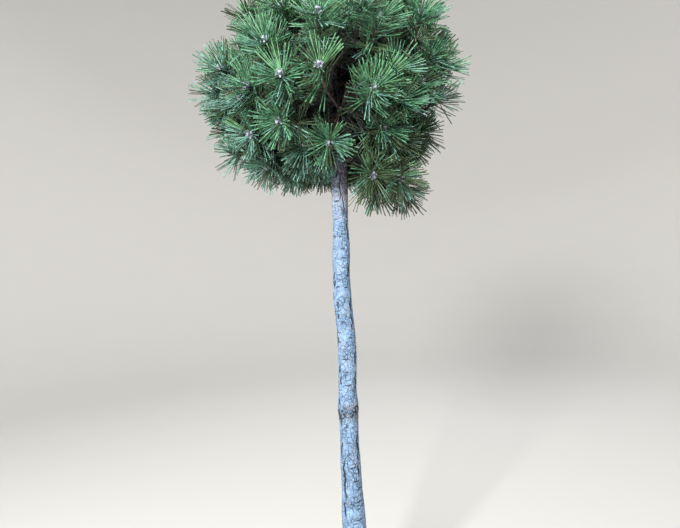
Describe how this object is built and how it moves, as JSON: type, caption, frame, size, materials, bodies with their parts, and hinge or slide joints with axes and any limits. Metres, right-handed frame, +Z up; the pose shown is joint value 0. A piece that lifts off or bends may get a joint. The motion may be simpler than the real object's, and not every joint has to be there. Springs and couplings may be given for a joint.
{
  "type": "standard lollipop topiary pine",
  "caption": "Dwarf pine grown as a standard: a tall bare stem with a root flare and a round head of radiating needle tufts.",
  "frame": {"origin": "middle of the flat cut under the stem, at ground level", "axes": "+Z up the stem, -Y towards the front that the picture shows, +X to that view's right"},
  "size_m": [0.4507, 0.4375, 1.0708],
  "materials": {
    "bark": "weathered plated bark, matt",
    "bough_bark": "rough scaly bark, matt",
    "needles": "waxy needles, satin"
  },
  "bodies": {
    "root": {"trunk": "bark", "bough_front_low": "bough_bark", "bough_left_front_low": "bough_bark", "bough_left_low": "bough_bark", "bough_right_droop": "bough_bark", "bough_right_low": "bough_bark", "bough_back_right_low": "bough_bark", "bough_back_left_low": "bough_bark", "bough_front_left": "bough_bark", "bough_left_front": "bough_bark", "bough_left": "bough_bark", "bough_front_right": "bough_bark", "bough_right_front": "bough_bark", "bough_right": "bough_bark", "bough_right_back": "bough_bark", "bough_back": "bough_bark", "bough_back_left": "bough_bark", "bough_left_back": "bough_bark", "bough_front_high": "bough_bark", "bough_right_high": "bough_bark", "bough_left_high": "bough_bark", "bough_right_back_high": "bough_bark", "bough_back_high": "bough_bark", "bough_left_back_high": "bough_bark", "foliage_front_low": "needles", "foliage_left_front_low": "needles", "foliage_left_low": "needles", "foliage_right_droop": "needles", "foliage_right_low": "needles", "foliage_back_right_low": "needles", "foliage_back_left_low": "needles", "foliage_front_left": "needles", "foliage_left_front": "needles", "foliage_left": "needles", "foliage_front_right": "needles", "foliage_right_front": "needles", "foliage_right": "needles", "foliage_right_back": "needles", "foliage_back": "needles", "foliage_back_left": "needles", "foliage_left_back": "needles", "foliage_front_high": "needles", "foliage_right_high": "needles", "foliage_left_high": "needles", "foliage_right_back_high": "needles", "foliage_back_high": "needles", "foliage_left_back_high": "needles", "foliage_top": "needles"}
  },
  "joints": []
}
